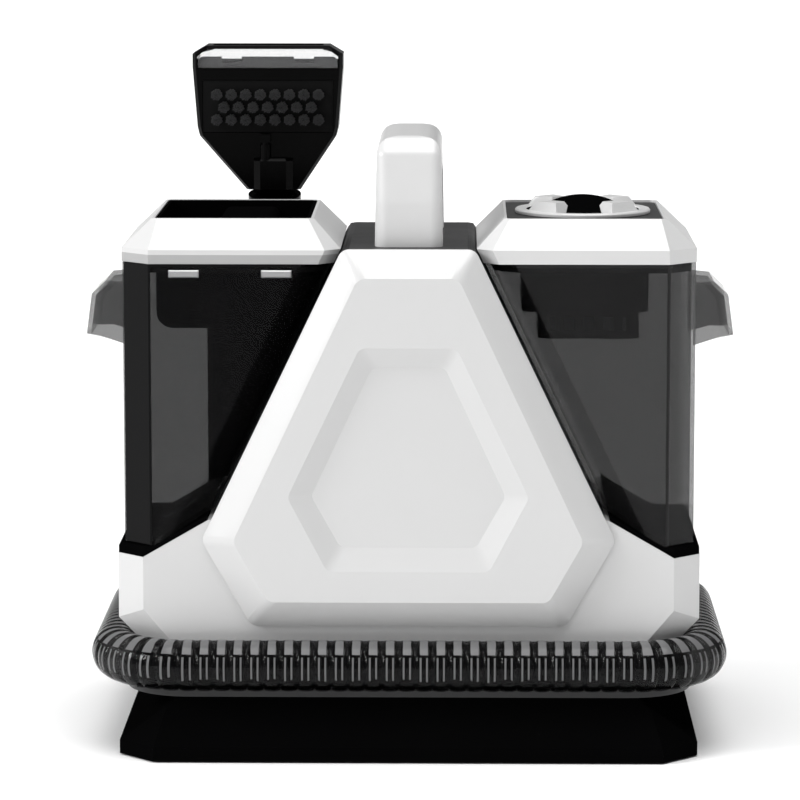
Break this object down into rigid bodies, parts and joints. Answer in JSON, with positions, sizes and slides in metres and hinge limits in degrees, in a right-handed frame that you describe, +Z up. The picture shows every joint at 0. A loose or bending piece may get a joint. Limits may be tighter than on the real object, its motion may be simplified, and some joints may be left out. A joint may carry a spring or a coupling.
{
  "type": "carpet cleaner machine",
  "caption": "Portable spot cleaner with two lift-off tanks on a tapered tower, a carrying handle, a ribbed hose wrapped round its waist and a parked brush tool.",
  "frame": {"origin": "middle of the flat underside, on the floor", "axes": "+Z up, -Y to the front cover, +X across to the dirty water tank"},
  "size_m": [0.3824, 0.2624, 0.4054],
  "materials": {
    "white_gloss": "moulded white plastic, gloss",
    "black_gloss": "moulded black plastic, high gloss",
    "dark_satin": "moulded dark plastic, satin",
    "smoked_clear": "smoked see-through plastic, gloss",
    "clear_window": "grey see-through plastic, gloss",
    "clear_hose": "smoky see-through ribbed hose",
    "clear_tube": "clear soft tube",
    "rubber_black": "soft black rubber",
    "bright_catch": "bright plated plastic",
    "steel": "zinc plated steel",
    "motor_steel": "rolled motor steel",
    "fan_aluminium": "pressed aluminium",
    "inner_plastic": "grey moulded plastic",
    "board": "circuit board, green lacquer",
    "foam": "open cell foam",
    "bristle": "dark nylon bristle"
  },
  "bodies": {
    "root": {"lower_body": "white_gloss", "front_cover": "white_gloss", "carry_handle": "white_gloss", "base_tray": "black_gloss", "clean_tank_seat": "black_gloss", "dirty_tank_seat": "black_gloss", "nozzle_shell": "black_gloss", "tool_handle": "black_gloss", "tower_housing": "dark_satin", "rear_cover": "dark_satin", "tool_dock": "dark_satin", "hose_drum": "dark_satin", "bottom_plate": "dark_satin", "spray_tip": "dark_satin", "brush_block": "dark_satin", "nozzle_lip": "dark_satin", "hose_elbow": "dark_satin", "clean_receiver": "dark_satin", "nozzle_window": "clear_window", "hose": "clear_hose", "water_line": "clear_tube", "rubber_feet": "rubber_black", "rubber_mounts": "rubber_black", "hose_cuff": "rubber_black", "cord_inlet": "rubber_black", "bottom_screws": "steel", "rear_screws": "steel", "handle_screws": "steel", "motor_can": "motor_steel", "fan_housing": "inner_plastic", "pump_body": "inner_plastic", "power_switch": "inner_plastic", "suction_duct": "inner_plastic", "control_board": "board", "exhaust_filter": "foam", "brush_tufts": "bristle"},
    "clean_tank": {"clean_tank_shell": "smoked_clear", "clean_tank_grip": "smoked_clear", "lid_snap_tabs": "bright_catch", "valve_body": "inner_plastic"},
    "clean_lid": {"clean_tank_lid": "white_gloss", "clean_lid_gasket": "rubber_black", "lid_pocket": "black_gloss", "lid_grab_bar": "black_gloss"},
    "valve": {"valve_plunger": "inner_plastic"},
    "dirty_tank": {"dirty_tank_shell": "smoked_clear", "dirty_tank_grip": "smoked_clear"},
    "dirty_lid": {"dirty_tank_lid": "white_gloss", "dirty_lid_gasket": "rubber_black", "lid_panel": "dark_satin", "separator_housing": "black_gloss", "float_cage": "black_gloss"},
    "knob": {"knob_ring": "white_gloss", "knob_dome": "black_gloss"},
    "float": {"shut_off_float": "inner_plastic"},
    "fan": {"fan_impeller": "fan_aluminium", "fan_shaft": "steel", "motor_rotor": "motor_steel"},
    "button": {"power_button": "dark_satin"},
    "spray_trigger": {"trigger": "dark_satin"}
  },
  "joints": [
    {"name": "clean_tank_lift", "type": "slide", "parent": "root", "child": "clean_tank", "axis": [0, 0, 1], "range_m": [0, 0.2]},
    {"name": "clean_lid_lift", "type": "slide", "parent": "clean_tank", "child": "clean_lid", "axis": [0, 0, 1], "range_m": [0, 0.1]},
    {"name": "clean_valve_push", "type": "slide", "parent": "clean_tank", "child": "valve", "axis": [0, 0, 1], "range_m": [0, 0.004], "stiffness_N_per_m": 100, "springref_m": -0.004},
    {"name": "dirty_tank_lift", "type": "slide", "parent": "root", "child": "dirty_tank", "axis": [0, 0, 1], "range_m": [0, 0.2]},
    {"name": "dirty_lid_lift", "type": "slide", "parent": "dirty_tank", "child": "dirty_lid", "axis": [0, 0, 1], "range_m": [0, 0.1]},
    {"name": "knob_turn", "type": "hinge", "parent": "dirty_lid", "child": "knob", "pos_m": [0.1023, -0.0295, 0.3135], "axis": [0, 0, 1], "range_deg": [0, 90]},
    {"name": "float_rise", "type": "slide", "parent": "dirty_lid", "child": "float", "axis": [0, 0, 1], "range_m": [0, 0.008]},
    {"name": "fan_spin", "type": "hinge", "parent": "root", "child": "fan", "pos_m": [0, -0.02, 0.1], "axis": [0, 0, 1], "continuous": true},
    {"name": "power_press", "type": "slide", "parent": "root", "child": "button", "axis": [0, 0, -1], "range_m": [0, 0.003], "stiffness_N_per_m": 300, "springref_m": -0.003},
    {"name": "trigger_pull", "type": "hinge", "parent": "root", "child": "spray_trigger", "pos_m": [-0.0854, 0.07838, 0.21204], "axis": [1, 0, 0], "range_deg": [0, 10], "stiffness_Nm_per_rad": 0.4, "springref_deg": -8.59}
  ]
}
